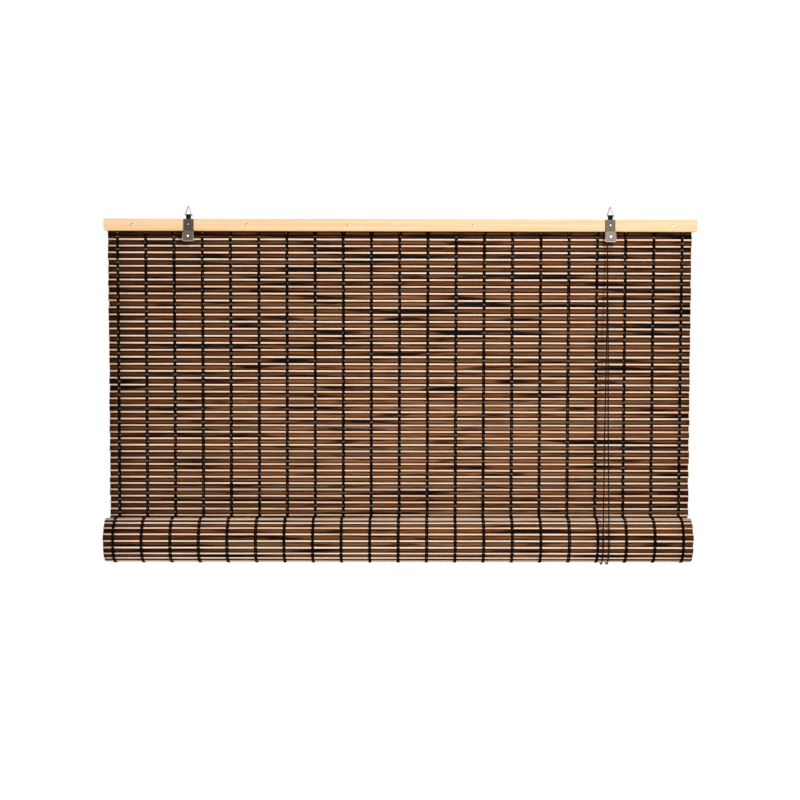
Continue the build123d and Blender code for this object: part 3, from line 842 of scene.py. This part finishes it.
def arcPoints(centre, radius, start, end, steps, lean=0.0):
    points = []
    for step in range(steps):
        turn = math.radians(start + (end - start) * step / steps)
        rise = radius * math.sin(turn)
        points.append(centre + Vector((radius * math.cos(turn), lean * rise, rise)))
    return points


def hoodPoint(hanger, x, drop):
    # a place on the front of a hood, which leans out towards its foot
    return Vector((hanger + x, trim["hoodFront"] - trim["hoodLean"] * drop, trim["hoodTop"] - drop))


def hoodEdge(hanger):
    # down the left edge, round both lower corners and up the right edge
    half, corner = trim["bottomHalf"], trim["corner"]
    cornerDrop = trim["hoodHeight"] - trim["edgeInset"] - corner
    points = [hoodPoint(hanger, -trim["topHalf"], corner)]
    for middle, start in ((corner - half, 180), (half - corner, 270)):
        for step in range(trim["cornerSteps"] + 1):
            turn = math.radians(start + 90 * step / trim["cornerSteps"])
            points.append(hoodPoint(hanger, middle + corner * math.cos(turn),
                                    cornerDrop - corner * math.sin(turn)))
    points.append(hoodPoint(hanger, trim["topHalf"], corner))
    return points


def makeHangerTrim(side, hanger):
    verts, faces = [], []
    # painted highlight: a bead much paler than the hood, for the light caught along its turned edge
    addBead(verts, faces, hoodEdge(hanger), trim["edge"])
    newPiece(side + "HoodEdge", verts, faces, rimHighlightSteel, "blind_frame")
    # painted shade: dark rings round the axle's end and the nail, for their grooves, and a dark line
    # where the plate ends, for the shadow gap under it
    verts, faces = [], []
    axle = hoodPoint(hanger, 0, trim["axleDrop"])
    nail = Vector((hanger, trim["plateFront"], trim["nailHeight"]))
    for ring in (arcPoints(axle, trim["axleMark"], 0, 360, trim["markSteps"], trim["hoodLean"]),
                 arcPoints(nail, trim["nailMark"], 0, 360, trim["markSteps"])):
        addBead(verts, faces, ring, trim["mark"], closed=True)
    foot = [Vector((hanger + trim["footHalf"] * share, trim["plateFront"], trim["footHeight"]))
            for share in trim["footShares"]]
    addBead(verts, faces, foot, trim["mark"])
    newPiece(side + "GrooveShades", verts, faces, grooveShadeSteel, "blind_frame")


def makeNailShades():
    # painted shade: a brown crescent round the upper left of each nail's head
    verts, faces = [], []
    for x in trim["nailShadeXs"]:
        place = Vector((x * mm, trim["battenFront"], trim["nailShadeHeight"]))
        crescent = arcPoints(place, trim["nailShadeRadius"], trim["nailShadeStart"], trim["nailShadeEnd"],
                             trim["nailShadeSteps"])
        addBead(verts, faces, crescent, trim["nailShadeBead"])
    newPiece("battenNailShades", verts, faces, pineNailShade, "blind_frame")


for hangerSide, hanger in trim["hangers"].items():
    makeHangerTrim(hangerSide, hanger)
makeNailShades()
print("trim made")


# Parts carried over from the frame get their finish

finishes = {
    "head_rail": pinePlaned, "back_lath": pinePlaned, "bottom_dowel": pinePlaned,
    "rail_nails": nailSteel, "cord_staples": nailSteel,
    "cord_over_wheel": cordBlack, "cord_end_knot": cordBlack, "cord_front_legs": cordBlack,
    "cord_back_legs": cordBlack, "cord_sling": cordBlack, "cord_anchor_knots": cordBlack,
}
for hangerSide in trim["hangers"]:
    finishes[hangerSide + "_ring"] = ringSteel
    finishes[hangerSide + "_strap"] = tapeBlack
    finishes[hangerSide + "_hanger_plate"] = plateSteel
    finishes[hangerSide + "_pulley_housing"] = litHousingSteel
    finishes[hangerSide + "_hanger_nail"] = nailSteel
    finishes[hangerSide + "_pulley_axle"] = nailSteel
    finishes[hangerSide + "_wheel"] = nylonWhite
for nodeName, material in finishes.items():
    for slot in frame["nodes"][nodeName].material_slots:
        slot.material = material
print("carried parts finished")


# Floor, lamps and world

studio = {
    "floor": -1.72, "floorHalf": 30.0,
    "key": {"place": (0.85, -2.6, 0.7), "size": 0.6, "power": 66.0},
    "fill": {"place": (-1.0, -2.9, -1.1), "size": 1.2, "power": 20.0},
    "worldLight": 0.2,
}


def makeLamp(name, settings, target):
    data = bpy.data.lights.new(name, "AREA")
    data.energy = settings["power"]
    data.size = settings["size"]
    lamp = bpy.data.objects.new(name, data)
    lamp.location = settings["place"]
    lamp.rotation_euler = (target - lamp.location).to_track_quat("-Z", "Y").to_euler()
    bpy.context.scene.collection.objects.link(lamp)


def makePaperSweep():
    # white paper: it takes soft light like paper, and the camera sees it as plain white
    material = newMaterial("whitePaperSweep")
    tree = material.node_tree
    paper = addNode(tree, "ShaderNodeBsdfPrincipled",
                    {"Base Color": linearColour("#f4f3f0"), "Roughness": 0.9})
    plain = addNode(tree, "ShaderNodeEmission", {"Color": (1, 1, 1, 1), "Strength": 1.0})
    path = addNode(tree, "ShaderNodeLightPath")
    seen = addNode(tree, "ShaderNodeMixShader", links={
        0: path.outputs["Is Camera Ray"], 1: paper.outputs["BSDF"], 2: plain.outputs["Emission"]})
    addNode(tree, "ShaderNodeOutputMaterial", links={"Surface": seen.outputs["Shader"]})
    return material


def makeFloor():
    half, height = studio["floorHalf"], studio["floor"]
    corners = [(-half, -half, height), (half, -half, height), (half, half, height), (-half, half, height)]
    mesh = bpy.data.meshes.new("floor")
    mesh.from_pydata(corners, [], [(0, 1, 2, 3)])
    mesh.materials.append(makePaperSweep())
    floor = bpy.data.objects.new("floor", mesh)
    bpy.context.scene.collection.objects.link(floor)


def makeWorld():
    # white to the camera and in reflections, and a low even light for everything else
    world = bpy.data.worlds.new("studio")
    bpy.context.scene.world = world
    world.use_nodes = True
    tree = world.node_tree
    tree.nodes.clear()
    path = addNode(tree, "ShaderNodeLightPath")
    seen = path.outputs["Is Camera Ray"]
    for output in ("Is Glossy Ray", "Is Transmission Ray"):
        seen = addNode(tree, "ShaderNodeMath", {"operation": "MAXIMUM"},
                       {0: seen, 1: path.outputs[output]}).outputs["Value"]
    strength = addNode(tree, "ShaderNodeMapRange", {"To Min": studio["worldLight"], "To Max": 1.0},
                       {"Value": seen})
    background = addNode(tree, "ShaderNodeBackground", {"Color": (1, 1, 1, 1)},
                         {"Strength": strength.outputs["Result"]})
    addNode(tree, "ShaderNodeOutputWorld", links={"Surface": background.outputs["Background"]})


blindMiddle = (cadCorners[0] + cadCorners[1]) / 2
makeLamp("keyLamp", studio["key"], blindMiddle)
makeLamp("fillLamp", studio["fill"], blindMiddle)
makeFloor()
makeWorld()
print("studio made")
